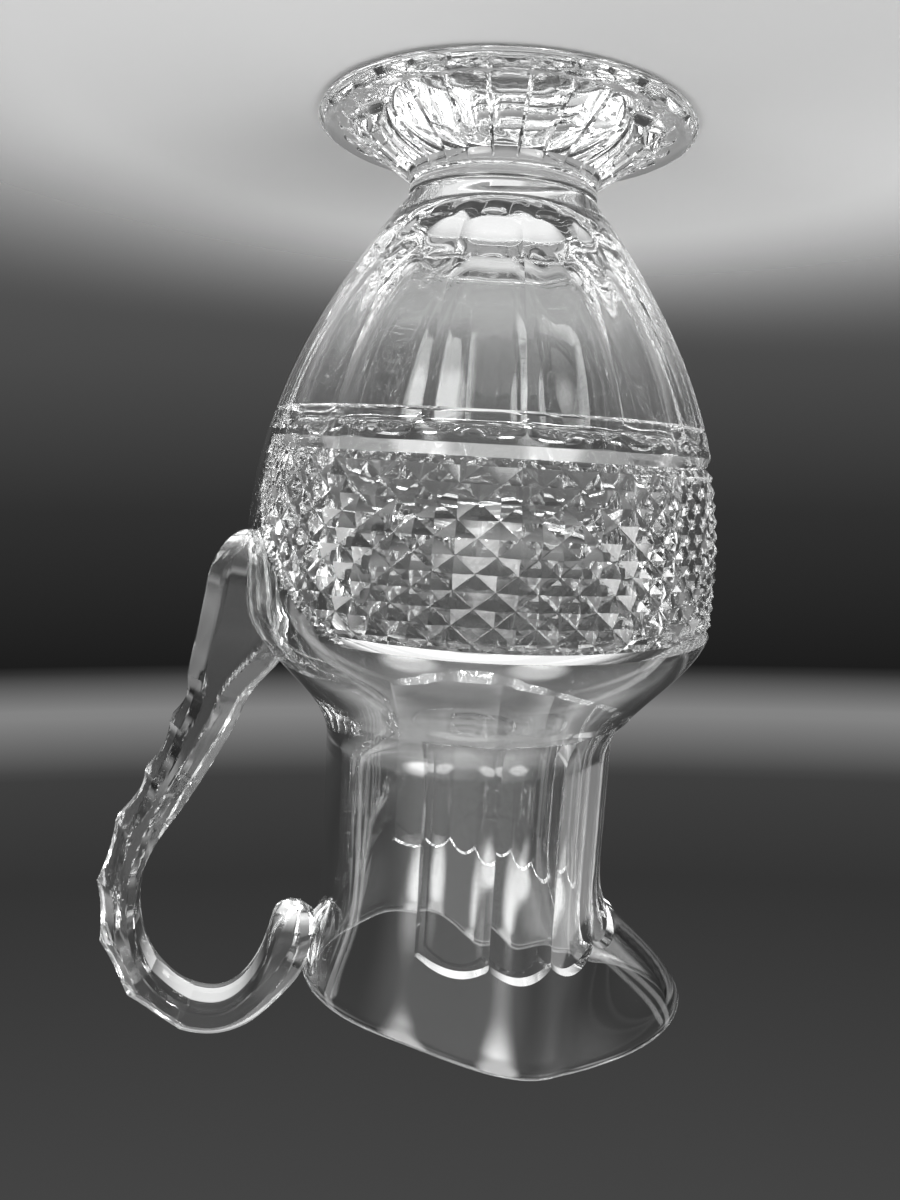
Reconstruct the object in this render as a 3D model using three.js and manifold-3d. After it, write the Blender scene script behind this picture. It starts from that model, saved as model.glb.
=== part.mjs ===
// A cut crystal water pitcher: bowl, wafer, foot and handle, four pieces of clear glass.
// Millimetres, +Z up. The origin is the centre of the foot's flat underside. The handle
// lies towards +X and the spout towards -X. Angles round the axis start at the handle.
import * as THREE from 'three';
import Module from 'manifold-3d';

// Foot
const FOOT_RADIUS = 51.7;
const FOOT_RIM_THICKNESS = 3;
const FOOT_RIM_DEPTH = 8;
const FOOT_HEIGHT = 16.7;
const FOOT_TOP_RADIUS = 25.4;
const FOOT_COLLAR_RADIUS = 27.2;
const FOOT_COLLAR_HEIGHT = 2.5;
const FOOT_FLUTES = 26;
const FOOT_FLUTE_PHASE = -1.85;
const FOOT_FLUTE_DEPTH = 0.7;
const FOOT_FLUTE_INSET = 5.4;
const FOOT_FLUTE_ARCH = 3;
const FOOT_FLUTE_RUNOUT = 0.6;

// Wafer between foot and bowl
const WAFER_RADIUS = 26.4;
const WAFER_HEIGHT = 3.3;
const WAFER_EDGE = 0.9;

// Bowl, uncut outer surface
const BOWL_BASE_RADIUS = 26;
const BOWL_RADIUS = 68;
const LOWER_BOWL_HEIGHT = 59.9;
const BELT_HEIGHT = 7.4;
const BEVEL_HEIGHT = 4.9;
const BAND_HEIGHT = 40.3;
const STRIP_HEIGHT = 4;
const BAND_BELOW_WIDEST = 29.3;
const SHOULDER_LEAD = 0.4;
const SHOULDER_HEIGHT = 42;
const NECK_RADIUS = 43.6;
const NECK_HEIGHT = 34;

// Lip and spout
const LIP_RADIUS = 45.2;
const LIP_BACK_RADIUS = 48.6;
const LIP_BACK_HALF_ANGLE = 55;
const LIP_HEIGHT = 40.5;
const LIP_TURN = 0.9;
const LIP_FLARE = 1.6;
const SPOUT_REACH = 74.5;
const SPOUT_HALF_ANGLE = 60;
const SPOUT_RISE = 15.6;
const SPOUT_RISE_START = 125;
const SPOUT_RISE_END = 45;
const SPOUT_DIP = 5;

// Cavity
const FLOOR_THICKNESS = 9;
const BOWL_WALL = 6.5;
const NECK_WALL = 4.8;
const LIP_WALL = 4.6;
const CAVITY_FULLNESS = 2.02;

// Flat panels cut on the lower bowl
const PANELS = 16;
const PANEL_PHASE = 4;
const PANEL_START = 10.5;
const PANEL_ARCH = 3.5;
const PANEL_RUNOUT = 1;
const CRESCENT = 3.6;
const MITRE_WIDTH = 0.7;
const MITRE_DEPTH = 0.7;

// Diamonds, and the plain shield left for the handle
const DIAMONDS = 42;
const DIAMOND_ROWS = 10;
const DIAMOND_DEPTH = 2;
const DIAMOND_TIP = 0.3;
const RING_GROOVE = 0.5;
const SHIELD_BASE_ANGLE = 16;
const SHIELD_TOP_ANGLE = 44;
const SHIELD_CURVE = 2.2;

// Neck flutes, a whole number of diamonds wide and centred on the spout
const FLUTES = 9;
const FLUTE_DIAMONDS = 3;
const FLUTE_DEPTH = 1.8;
const FLUTE_TOP_DROP = 10.2;
const FLUTE_STEP = 0.6;
const FLUTE_END = 0.4;
const FLUTE_SCALLOP = 0.07;

// Handle
const HANDLE_GAP = 0.3;
const HANDLE_REACH = 35.2;
const HANDLE_RISE = 15;
const HANDLE_ROOT_DROP = 18.3;
const HANDLE_DEPTH = 10.4;
const HANDLE_WIDTH = 16;
const HANDLE_CORNER = 3.2;
const HANDLE_ROOT_DEPTH = 18;
const HANDLE_ROOT_WIDTH = 25;
const HANDLE_TIP = 0.07;
const HANDLE_WEB = 8;
const HANDLE_WEB_START = 0.13;
const HANDLE_WEB_END = 0.23;
const PAD_DEPTH = 13.2;
const PAD_WIDTH = 20;
const PAD_DROP = 20;
const PAD_END = 0.04;
const NOTCH_PITCH = 17;
const NOTCH_DEPTH = 1.5;
const NOTCH_START = 0.2;
const NOTCH_END = 0.75;

// Places that follow from the sizes
const TAU = 2 * Math.PI;
const footEdge = FOOT_RADIUS - FOOT_RIM_DEPTH;
const bowlBase = FOOT_HEIGHT + WAFER_HEIGHT;
const mitreHeight = bowlBase + LOWER_BOWL_HEIGHT;
const beltTop = mitreHeight + BELT_HEIGHT;
const bandBase = beltTop + BEVEL_HEIGHT;
const bandTop = bandBase + BAND_HEIGHT;
const stripTop = bandTop + STRIP_HEIGHT;
const widestHeight = bandBase + BAND_BELOW_WIDEST;
const shoulderBase = bandTop - SHOULDER_LEAD;
const neckBase = shoulderBase + SHOULDER_HEIGHT;
const lipBase = neckBase + NECK_HEIGHT;
const rimHeight = lipBase + LIP_HEIGHT;
const cavityFloor = bowlBase + FLOOR_THICKNESS;
const fluteTop = neckBase - FLUTE_TOP_DROP;
const panelStart = bowlBase + PANEL_START;

const BAND_COLUMNS = 2 * DIAMONDS;
const PANEL_COLUMNS = 4 * PANELS;
const FOOT_COLUMNS = 4 * FOOT_FLUTES;
const WAFER_COLUMNS = 72;
const CAVITY_COLUMNS = 56;

const { clamp, degToRad, lerp, smoothstep } = THREE.MathUtils;

// Signed angle between -PI and PI
function wrap(angle) {
  return Math.atan2(Math.sin(angle), Math.cos(angle));
}

// Numbers from one value to another, both ends included
function steps(from, to, count) {
  return Array.from({ length: count + 1 }, (_, k) => lerp(from, to, k / count));
}

// Place in a repeat of equal cuts: 0 at the middle of a cut, -1 and 1 at its two ridges
function acrossCut(angle, cuts, phase) {
  const turn = ((angle - phase) / TAU) * cuts;
  return 2 * (turn - Math.floor(turn)) - 1;
}

// A closed loop round the axis; place(angle) gives its radius and height
function loop(columns, place, phase = 0) {
  const angles = Array.from({ length: columns }, (_, k) => phase + (k / columns) * TAU);
  const points = angles.map((angle) => {
    const [radius, height] = place(angle);
    return new THREE.Vector3(radius * Math.cos(angle), radius * Math.sin(angle), height);
  });
  return { angles, points };
}

function pole(height) {
  return { angles: [0], points: [new THREE.Vector3(0, 0, height)] };
}

// The distance from the axis of a loop's point, counted round the loop
function reach(ring, k) {
  const point = ring.points[k % ring.points.length];
  return Math.hypot(point.x, point.y);
}

// Triangles between two loops with any number of points each. Between points at equal
// angles the diagonal joins the pair nearer the axis, so it lies along a groove.
function zip(lower, upper, startLower, startUpper, faces) {
  const a = lower.points.length;
  const b = upper.points.length;
  const ahead = (ring, k) => ring.angles[k % ring.angles.length] + TAU * Math.floor(k / ring.angles.length);
  const atLower = (k) => startLower + (k % a);
  const atUpper = (k) => startUpper + (k % b);
  let i = 0;
  let j = 0;
  while ((a > 1 && i < a) || (b > 1 && j < b)) {
    const nextLower = a > 1 && i < a ? ahead(lower, i + 1) : Infinity;
    const nextUpper = b > 1 && j < b ? ahead(upper, j + 1) : Infinity;
    if (Math.abs(nextLower - nextUpper) < 1e-6) {
      const rising = reach(lower, i) + reach(upper, j + 1);
      const falling = reach(lower, i + 1) + reach(upper, j);
      if (rising <= falling + 1e-6) {
        faces.push(atLower(i), atLower(i + 1), atUpper(j + 1));
        faces.push(atLower(i), atUpper(j + 1), atUpper(j));
      } else {
        faces.push(atLower(i), atLower(i + 1), atUpper(j));
        faces.push(atLower(i + 1), atUpper(j + 1), atUpper(j));
      }
      i += 1;
      j += 1;
    } else if (nextLower < nextUpper) {
      faces.push(atLower(i), atLower(i + 1), atUpper(j));
      i += 1;
    } else {
      faces.push(atLower(i), atUpper(j + 1), atUpper(j));
      j += 1;
    }
  }
}

// A closed skin over loops that run from the lower pole out, up and back to the last pole
function skin(rings) {
  const faces = [];
  const starts = [];
  let total = 0;
  for (const ring of rings) {
    starts.push(total);
    total += ring.points.length;
  }
  for (let k = 1; k < rings.length; k += 1) {
    zip(rings[k - 1], rings[k], starts[k - 1], starts[k], faces);
  }
  const geometry = new THREE.BufferGeometry().setFromPoints(rings.flatMap((ring) => ring.points));
  geometry.setIndex(faces);
  return geometry;
}

// Radius of the bowl and neck before any cutting
function uncut(height) {
  if (height < widestHeight) {
    const below = (widestHeight - height) / (widestHeight - bowlBase);
    return BOWL_RADIUS - (BOWL_RADIUS - BOWL_BASE_RADIUS) * below ** 2;
  }
  const turn = Math.PI * clamp((height - shoulderBase) / SHOULDER_HEIGHT, 0, 1);
  return lerp(NECK_RADIUS, BOWL_RADIUS, (1 + Math.cos(turn)) / 2);
}

// How strongly one side draws the lip outwards: 1 on its middle, 0 outside its half angle
function pull(angle, middle, halfAngle) {
  const turned = Math.abs(wrap(angle - middle)) / degToRad(halfAngle);
  return turned < 1 ? Math.cos((turned * Math.PI) / 2) ** 2 : 0;
}

function spoutPull(angle) {
  return pull(angle, Math.PI, SPOUT_HALF_ANGLE);
}

function lipRadius(angle) {
  const back = (LIP_BACK_RADIUS - LIP_RADIUS) * pull(angle, 0, LIP_BACK_HALF_ANGLE);
  return lerp(LIP_RADIUS, SPOUT_REACH, spoutPull(angle)) + back;
}

function lipHeight(angle) {
  const turned = Math.abs(wrap(angle - Math.PI));
  const rise = 1 - smoothstep(turned, degToRad(SPOUT_RISE_END), degToRad(SPOUT_RISE_START));
  return rimHeight + SPOUT_RISE * rise - SPOUT_DIP * spoutPull(angle);
}

// Outer surface between the neck and the lip's edge, up = 0 to 1, as radius and height
function flare(angle, up) {
  const turn = (1 - Math.cos(Math.PI * LIP_TURN * up)) / (1 - Math.cos(Math.PI * LIP_TURN));
  const radius = lerp(NECK_RADIUS, lipRadius(angle), turn ** LIP_FLARE);
  return new THREE.Vector2(radius, lerp(lipBase, lipHeight(angle), up));
}

// The flare moved inwards along its normal, or round the edge by the given turn
function lipSection(angle, up, turn) {
  const small = 0.01;
  const tangent = flare(angle, up).sub(flare(angle, up - small)).normalize();
  const outward = new THREE.Vector2(tangent.y, -tangent.x);
  const wall = lerp(NECK_WALL, LIP_WALL, clamp(up, 0, 1));
  const centre = flare(angle, up).addScaledVector(outward, -wall / 2);
  centre.addScaledVector(outward, (wall / 2) * Math.cos(turn));
  centre.addScaledVector(tangent, (wall / 2) * Math.sin(turn));
  return [centre.x, centre.y];
}

// A flat panel's radius on the lower bowl: full at the ridges, drawn in at the middle
function panelled(angle, height) {
  const half = Math.PI / PANELS;
  const across = acrossCut(angle, PANELS, degToRad(PANEL_PHASE)) * half;
  return (uncut(height) * Math.cos(half)) / Math.cos(across);
}

function archHeight(angle) {
  return panelStart + PANEL_ARCH * acrossCut(angle, PANELS, degToRad(PANEL_PHASE)) ** 2;
}

function crescentHeight(angle) {
  const across = acrossCut(angle, PANELS, degToRad(PANEL_PHASE));
  return mitreHeight + MITRE_WIDTH + PANEL_RUNOUT + CRESCENT * (1 - across ** 2);
}

function panelRings() {
  const phase = degToRad(PANEL_PHASE);
  const ring = (place) => loop(PANEL_COLUMNS, place, phase);
  const cutTop = mitreHeight - MITRE_WIDTH;
  const heights = steps(panelStart + PANEL_ARCH + PANEL_RUNOUT, cutTop, 6).slice(1);
  return [
    ring(() => [BOWL_BASE_RADIUS, bowlBase]),
    ring(() => [uncut(bowlBase + PANEL_START / 2), bowlBase + PANEL_START / 2]),
    ring((angle) => [uncut(archHeight(angle)), archHeight(angle)]),
    ring((angle) => {
      const height = archHeight(angle) + PANEL_RUNOUT;
      return [panelled(angle, height), height];
    }),
    ...heights.map((height) => ring((angle) => [panelled(angle, height), height])),
    ring((angle) => [panelled(angle, mitreHeight) - MITRE_DEPTH, mitreHeight]),
    ring((angle) => {
      const height = crescentHeight(angle) - PANEL_RUNOUT;
      return [panelled(angle, height), height];
    }),
    ring((angle) => [uncut(crescentHeight(angle)), crescentHeight(angle)]),
  ];
}

// True inside the plain shield that is left uncut round the handle's root
function inShield(angle, height) {
  const up = clamp((height - bandBase) / BAND_HEIGHT, 0, 1);
  const half = lerp(SHIELD_BASE_ANGLE, SHIELD_TOP_ANGLE, up ** SHIELD_CURVE);
  return Math.abs(wrap(angle)) < degToRad(half);
}

// Diamonds stand on a lattice of two crossing sets of grooves. Columns and rows step by
// half a diamond, so every other point is a tip and the rest are crossings of grooves.
// Part of a row beyond the first and the last row a ring groove runs round the band.
function bandRing(row) {
  const height = lerp(bandBase, bandTop, row / DIAMOND_ROWS);
  return loop(BAND_COLUMNS, (angle) => {
    const column = Math.round((angle / TAU) * BAND_COLUMNS);
    const cut = (column + row) % 2 === 1 ? DIAMOND_TIP : DIAMOND_DEPTH;
    return [uncut(height) - (inShield(angle, height) ? 0 : cut), height];
  });
}

function bandRings() {
  const rows = Array.from({ length: DIAMOND_ROWS + 1 }, (_, row) => row);
  return [
    loop(BAND_COLUMNS, () => [uncut(beltTop), beltTop]),
    ...[-RING_GROOVE, ...rows, DIAMOND_ROWS + RING_GROOVE].map(bandRing),
    loop(BAND_COLUMNS, () => [uncut(stripTop), stripTop]),
  ];
}

// Depth of the neck's flutes at an angle, none beside the handle
function fluteDepth(angle) {
  const width = (FLUTE_DIAMONDS * TAU) / DIAMONDS;
  const turned = wrap(angle - Math.PI) / width + FLUTES / 2;
  if (turned < 0 || turned > FLUTES) {
    return 0;
  }
  const across = 2 * (turned - Math.floor(turned)) - 1;
  return FLUTE_DEPTH * (1 - across ** 2);
}

// How far up the flare a flute runs: further at its middle, so its end is a scallop
function fluteEnd(angle) {
  return FLUTE_END + (FLUTE_SCALLOP * fluteDepth(angle)) / FLUTE_DEPTH;
}

function neckRings() {
  const ring = (place) => loop(BAND_COLUMNS, place);
  const plain = steps(stripTop, fluteTop, 5).slice(1);
  const fluted = [fluteTop + FLUTE_STEP, neckBase, (neckBase + lipBase) / 2];
  const cutFlare = (angle, up) => {
    const point = flare(angle, up);
    return [point.x - fluteDepth(angle), point.y];
  };
  return [
    ...plain.map((height) => ring(() => [uncut(height), height])),
    ...fluted.map((height) => ring((angle) => [uncut(height) - fluteDepth(angle), height])),
    ...[0, FLUTE_END / 2].map((up) => ring((angle) => cutFlare(angle, up))),
    ring((angle) => cutFlare(angle, fluteEnd(angle) - FLUTE_SCALLOP)),
    ring((angle) => flare(angle, fluteEnd(angle)).toArray()),
  ];
}

function lipRings() {
  const ring = (place) => loop(BAND_COLUMNS, place);
  const outside = steps(FLUTE_END + 2 * FLUTE_SCALLOP, 1, 5);
  const round = steps(0, Math.PI, 4).slice(1);
  const inside = steps(1, 0, 6).slice(1);
  return [
    ...outside.map((up) => ring((angle) => flare(angle, up).toArray())),
    ...round.map((turn) => ring((angle) => lipSection(angle, 1, turn))),
    ...inside.map((up) => ring((angle) => lipSection(angle, up, Math.PI))),
  ];
}

// Inner radius of the neck, shoulder and upper bowl
function innerRadius(height) {
  const wall = lerp(BOWL_WALL, NECK_WALL, smoothstep(height, shoulderBase, neckBase));
  return uncut(height) - wall;
}

// The cavity's lower half is a full, rounded bottom down to the floor
function cavityRings() {
  const depth = widestHeight - cavityFloor;
  const widest = BOWL_RADIUS - BOWL_WALL;
  const upper = [...steps(lipBase, neckBase, 2).slice(1), ...steps(neckBase, shoulderBase, 7).slice(1)];
  const lower = steps(0, Math.PI / 2, 11).slice(0, -1);
  return [
    ...upper.map((height) => loop(CAVITY_COLUMNS, () => [innerRadius(height), height])),
    ...lower.map((turn) => {
      const radius = widest * Math.cos(turn) ** (2 / CAVITY_FULLNESS);
      const height = widestHeight - depth * Math.sin(turn) ** (2 / CAVITY_FULLNESS);
      return loop(CAVITY_COLUMNS, () => [radius, height]);
    }),
  ];
}

function bowlGeometry() {
  return skin([
    pole(bowlBase),
    ...panelRings(),
    ...bandRings(),
    ...neckRings(),
    ...lipRings(),
    ...cavityRings(),
    pole(cavityFloor),
  ]);
}

function waferGeometry() {
  const ring = (radius, height) => loop(WAFER_COLUMNS, () => [radius, height]);
  const corner = (turn, height, side) => {
    const out = WAFER_RADIUS - WAFER_EDGE + WAFER_EDGE * Math.cos(turn);
    return ring(out, height + side * WAFER_EDGE * Math.sin(turn));
  };
  const turns = steps(0, Math.PI / 2, 3);
  return skin([
    pole(FOOT_HEIGHT),
    ...turns.toReversed().map((turn) => corner(turn, FOOT_HEIGHT + WAFER_EDGE, -1)),
    ...turns.map((turn) => corner(turn, bowlBase - WAFER_EDGE, 1)),
    pole(bowlBase),
  ]);
}

// Height of the foot's uncut top: a low rounded rim, then a straight slope up to the collar
function footSlope(radius) {
  if (radius > footEdge) {
    const outward = Math.min((radius - footEdge) / FOOT_RIM_DEPTH, 1);
    return (FOOT_RIM_THICKNESS / 2) * (1 + Math.sqrt(1 - outward ** 2));
  }
  const inward = clamp((footEdge - radius) / (footEdge - FOOT_COLLAR_RADIUS), 0, 1);
  return lerp(FOOT_RIM_THICKNESS, FOOT_HEIGHT - FOOT_COLLAR_HEIGHT, inward);
}

// The slope lowered by the foot's flat radial flutes, which narrow towards the collar
function footFlute(angle, radius) {
  const across = acrossCut(angle, FOOT_FLUTES, degToRad(FOOT_FLUTE_PHASE));
  const cut = FOOT_FLUTE_DEPTH * (radius / FOOT_RADIUS) * (1 - across ** 4);
  return [radius, footSlope(radius) - cut];
}

// Where a foot flute begins, as an arch: further out at its middle than at its ridges
function footFluteStart(angle) {
  const across = acrossCut(angle, FOOT_FLUTES, degToRad(FOOT_FLUTE_PHASE));
  return FOOT_RADIUS - FOOT_FLUTE_INSET - FOOT_FLUTE_ARCH * across ** 2;
}

function footGeometry() {
  const ring = (place) => loop(FOOT_COLUMNS, place, degToRad(FOOT_FLUTE_PHASE));
  const half = FOOT_RIM_THICKNESS / 2;
  const lower = steps(-Math.PI / 2, 0, 3).slice(0, -1);
  const upper = steps(0, Math.acos(1 - FOOT_FLUTE_INSET / FOOT_RIM_DEPTH), 5).slice(0, -1);
  const lowerEdge = (turn) => [FOOT_RADIUS + half * (Math.cos(turn) - 1), half * (1 + Math.sin(turn))];
  const upperEdge = (turn) => [footEdge + FOOT_RIM_DEPTH * Math.cos(turn), half * (1 + Math.sin(turn))];
  const shares = steps(0, 1, 6);
  return skin([
    pole(0),
    ...lower.map((turn) => ring(() => lowerEdge(turn))),
    ...upper.map((turn) => ring(() => upperEdge(turn))),
    ring((angle) => [footFluteStart(angle), footSlope(footFluteStart(angle))]),
    ...shares.map((share) => ring((angle) => {
      const start = footFluteStart(angle) - FOOT_FLUTE_RUNOUT;
      return footFlute(angle, lerp(start, FOOT_COLLAR_RADIUS, share));
    })),
    ring(() => [FOOT_TOP_RADIUS, FOOT_HEIGHT]),
    pole(FOOT_HEIGHT),
  ]);
}

// The handle's middle line in the plane of the spout: up from the shield, out, over the
// rim's height and down the outside of the lip. The grip is given in shares of the
// handle's reach beyond the bowl and of its rise from the root.
function handlePath() {
  const rootHeight = bandTop - HANDLE_ROOT_DROP;
  const topHeight = rimHeight + HANDLE_RISE;
  const grip = [
    [-0.045, 0],
    [0.015, 0.073],
    [0.075, 0.153],
    [0.15, 0.239],
    [0.248, 0.332],
    [0.412, 0.418],
    [0.62, 0.511],
    [0.83, 0.591],
    [0.95, 0.661],
    [1, 0.73],
    [1, 0.79],
    [0.94, 0.853],
    [0.825, 0.91],
    [0.62, 0.964],
    [0.41, 0.991],
    [0.205, 1],
    [0.03, 0.991],
    [-0.12, 0.967],
  ];
  const pad = [
    [0.75, -0.2],
    [0.45, 0.14],
    [0.24, 0.56],
    [0.1, 1],
  ];
  const points = [
    ...grip.map(([out, up]) => [BOWL_RADIUS + HANDLE_REACH * out, lerp(rootHeight, topHeight, up)]),
    ...pad.map(([out, down]) => [LIP_BACK_RADIUS + PAD_DEPTH * out, rimHeight - PAD_DROP * down]),
  ];
  return new THREE.CatmullRomCurve3(points.map(([x, z]) => new THREE.Vector3(x, 0, z)));
}

// Grows from 0 to 1 like the quarter of an ellipse: a full, rounded end
function rounded(share) {
  return Math.sqrt(1 - (1 - clamp(share, 0, 1)) ** 2);
}

// Depth and width of the handle along its path: a broad leaf at the root, slim in the
// grip and spread again where it is pressed on the lip
function handleSize(along) {
  const slim = smoothstep(along, 0.16, 0.66);
  const pad = smoothstep(along, 0.84, 0.95);
  const end = Math.min(rounded(along / HANDLE_TIP), rounded((1 - along) / PAD_END));
  const depth = lerp(lerp(HANDLE_ROOT_DEPTH, HANDLE_DEPTH, slim), PAD_DEPTH, pad) * end;
  const narrowed = smoothstep(along, 0.1, 0.4);
  const width = lerp(lerp(HANDLE_ROOT_WIDTH, HANDLE_WIDTH, narrowed), PAD_WIDTH, pad) * end;
  return { depth, width };
}

// Shallow cuts in a row down the handle's back, with a ridge between each two
function notch(along, length) {
  if (along < NOTCH_START || along > NOTCH_END) {
    return 0;
  }
  const count = Math.max(1, Math.round(((NOTCH_END - NOTCH_START) * length) / NOTCH_PITCH));
  const turn = ((along - NOTCH_START) / (NOTCH_END - NOTCH_START)) * count;
  const across = 2 * (turn - Math.floor(turn)) - 1;
  return NOTCH_DEPTH * (1 - across ** 2);
}

// Eight corners of the handle's section, round its path. Above the root a web of glass
// runs from the handle's inner side into the shoulder.
function handleRing(path, length, along) {
  const centre = path.getPointAt(along);
  const tangent = path.getTangentAt(along);
  const outward = new THREE.Vector3(tangent.z, 0, -tangent.x);
  const { depth, width } = handleSize(along);
  const half = depth / 2;
  const side = width / 2;
  const corner = Math.min(HANDLE_CORNER, half * 0.6, side * 0.6);
  const back = half - Math.min(notch(along, length), corner);
  const front = half + HANDLE_WEB * (1 - smoothstep(along, HANDLE_WEB_START, HANDLE_WEB_END));
  const corners = [
    [back, corner - side],
    [back, side - corner],
    [half - corner, side],
    [corner - front, side],
    [-front, side - corner],
    [-front, corner - side],
    [corner - front, -side],
    [half - corner, -side],
  ];
  const points = corners.map(([out, across]) => {
    const point = centre.clone().addScaledVector(outward, out);
    point.y += across;
    return point;
  });
  return { angles: corners.map((_, k) => (k / corners.length) * TAU), points };
}

function handleBlank() {
  const path = handlePath();
  const length = path.getLength();
  const count = Math.max(1, Math.round(((NOTCH_END - NOTCH_START) * length) / NOTCH_PITCH));
  const places = [
    ...steps(0, HANDLE_TIP, 4).slice(1),
    ...steps(HANDLE_TIP, NOTCH_START, 8).slice(1, -1),
    ...steps(NOTCH_START, NOTCH_END, 6 * count),
    ...steps(NOTCH_END, 1 - PAD_END, 8).slice(1),
    ...steps(1 - PAD_END, 1, 4).slice(1, -1),
  ];
  const end = (along) => ({ angles: [0], points: [path.getPointAt(along)] });
  return skin([end(0), ...places.map((along) => handleRing(path, length, along)), end(1)]);
}

// The bowl's uncut outside, a little larger, closed above and below: what the handle fits
function bowlEnvelope() {
  const ring = (place) => loop(BAND_COLUMNS, place);
  const heights = steps(bandBase, lipBase, 24);
  const ups = steps(0, 1, 10).slice(1);
  const grown = (angle, up) => {
    const point = flare(angle, up);
    return [point.x + HANDLE_GAP, point.y];
  };
  const above = rimHeight + SPOUT_RISE + 2 * HANDLE_RISE;
  return skin([
    pole(bandBase),
    ...heights.map((height) => ring(() => [uncut(height) + HANDLE_GAP, height])),
    ...ups.map((up) => ring((angle) => grown(angle, up))),
    ring((angle) => [lipRadius(angle) + HANDLE_GAP, above]),
    pole(above),
  ]);
}

const wasm = await Module();
wasm.setup();

function toSolid(geometry) {
  const vertProperties = new Float32Array(geometry.getAttribute('position').array);
  const triVerts = new Uint32Array(geometry.getIndex().array);
  return new wasm.Manifold(new wasm.Mesh({ numProp: 3, vertProperties, triVerts }));
}

function toGeometry(solid) {
  const mesh = solid.getMesh();
  const geometry = new THREE.BufferGeometry();
  geometry.setAttribute('position', new THREE.BufferAttribute(mesh.vertProperties, mesh.numProp));
  geometry.setIndex(new THREE.BufferAttribute(mesh.triVerts, 1));
  return geometry;
}

function handleGeometry() {
  return toGeometry(toSolid(handleBlank()).subtract(toSolid(bowlEnvelope())));
}

function crystal(color, roughness) {
  return new THREE.MeshStandardMaterial({ color, roughness, metalness: 0 });
}

function piece(name, geometry, material) {
  const mesh = new THREE.Mesh(geometry, material);
  mesh.name = name;
  return mesh;
}

const pitcher = new THREE.Group();
pitcher.add(piece('foot', footGeometry(), crystal(0xe3e7e8, 0.06)));
pitcher.add(piece('wafer', waferGeometry(), crystal(0xdde2e4, 0.05)));
pitcher.add(piece('bowl', bowlGeometry(), crystal(0xe9edee, 0.05)));
pitcher.add(piece('handle', handleGeometry(), crystal(0xe6eaeb, 0.05)));

export default pitcher;
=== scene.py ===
"""Looks of a cut crystal water pitcher: clear glass, cut facets and a plain studio.

The origin is the middle of the foot's underside, +Z is up, the handle lies towards +X and
the spout towards -X. The pitcher's lengths are in millimetres and become Blender's metres
where a mesh is filled, and the studio's are in metres. The photograph shows the pitcher
upside down, so the camera is rolled over and the pitcher stands on its foot.
"""

from __future__ import annotations

import logging
import math
from dataclasses import dataclass
from enum import Enum

import bpy
import numpy as np
from mathutils import Matrix, Vector


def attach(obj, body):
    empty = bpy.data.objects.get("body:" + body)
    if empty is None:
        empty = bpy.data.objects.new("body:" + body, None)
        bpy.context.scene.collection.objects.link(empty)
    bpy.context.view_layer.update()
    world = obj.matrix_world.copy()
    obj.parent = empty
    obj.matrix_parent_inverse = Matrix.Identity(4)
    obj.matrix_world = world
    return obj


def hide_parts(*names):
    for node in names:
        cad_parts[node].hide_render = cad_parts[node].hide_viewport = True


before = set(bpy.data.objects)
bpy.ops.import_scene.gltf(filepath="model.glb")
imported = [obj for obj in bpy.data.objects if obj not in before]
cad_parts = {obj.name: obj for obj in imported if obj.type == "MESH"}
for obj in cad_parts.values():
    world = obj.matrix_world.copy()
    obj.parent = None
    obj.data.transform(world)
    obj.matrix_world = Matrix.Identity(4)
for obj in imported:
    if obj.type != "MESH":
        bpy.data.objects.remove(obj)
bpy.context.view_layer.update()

log = logging.getLogger("pitcher")

TAU = 2.0 * math.pi
QUARTER = math.pi / 2.0
METRES = 0.001
Array = np.ndarray

# Slack for rounding, in a count of flutes and between two sums of depths.
ROUNDING = 1e-6
TIE = 1e-9


class Corner(Enum):
    """Angle in degrees above which an edge between two faces of a piece stays sharp."""

    CUT = 11.0
    FIRE_POLISHED = 40.0


class Face(Enum):
    """Material index of a piece's faces."""

    GLASS = 0
    FUSED = 1


def smooth(value: Array, low: float, high: float) -> Array:
    """Ease from 0 at low to 1 at high.

    Formula: with t the clamped share of the way from low to high, t squared times three
    minus two t.

    Args:
        value: Numbers of any shape.
        low: Where the result leaves 0.
        high: Where the result reaches 1.

    Returns:
        Numbers of the same shape, from 0 to 1.
    """
    share = np.clip((value - low) / (high - low), 0.0, 1.0)
    return share * share * (3.0 - 2.0 * share)


def blend(start: Array, end: Array, share: Array) -> Array:
    """Go from start to end: start plus share times the difference."""
    return start + (end - start) * share


def wrapped(angle: Array) -> Array:
    """Bring angles into the half turn either side of 0."""
    return np.arctan2(np.sin(angle), np.cos(angle))


def centred(turn: Array) -> Array:
    """Place in a repeat, from a count of repeats: 0 in its middle, -1 and 1 at its ends."""
    return 2.0 * (turn - np.floor(turn)) - 1.0


def spaced(first: float, last: float, count: int) -> Array:
    """Evenly spaced values, one to a row, first and last included."""
    return np.linspace(first, last, count)[:, None]


def cylindrical(angle: Array, radius: Array, height: Array) -> Array:
    """Join angle, radius and height into one (rows, columns, 3) array of such places."""
    return np.stack(np.broadcast_arrays(angle, radius, height), axis=-1)


def to_space(rows: Array) -> Array:
    """Turn cylindrical places into points: radius times cosine and sine, and the height."""
    angle, radius, height = rows[..., 0], rows[..., 1], rows[..., 2]
    return np.stack([radius * np.cos(angle), radius * np.sin(angle), height], axis=-1)


def placed(name: str, data: bpy.types.ID) -> bpy.types.Object:
    """Make an object of a mesh, a lamp or a camera and put it into the scene."""
    made = bpy.data.objects.new(name, data)
    bpy.context.scene.collection.objects.link(made)
    return made


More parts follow.
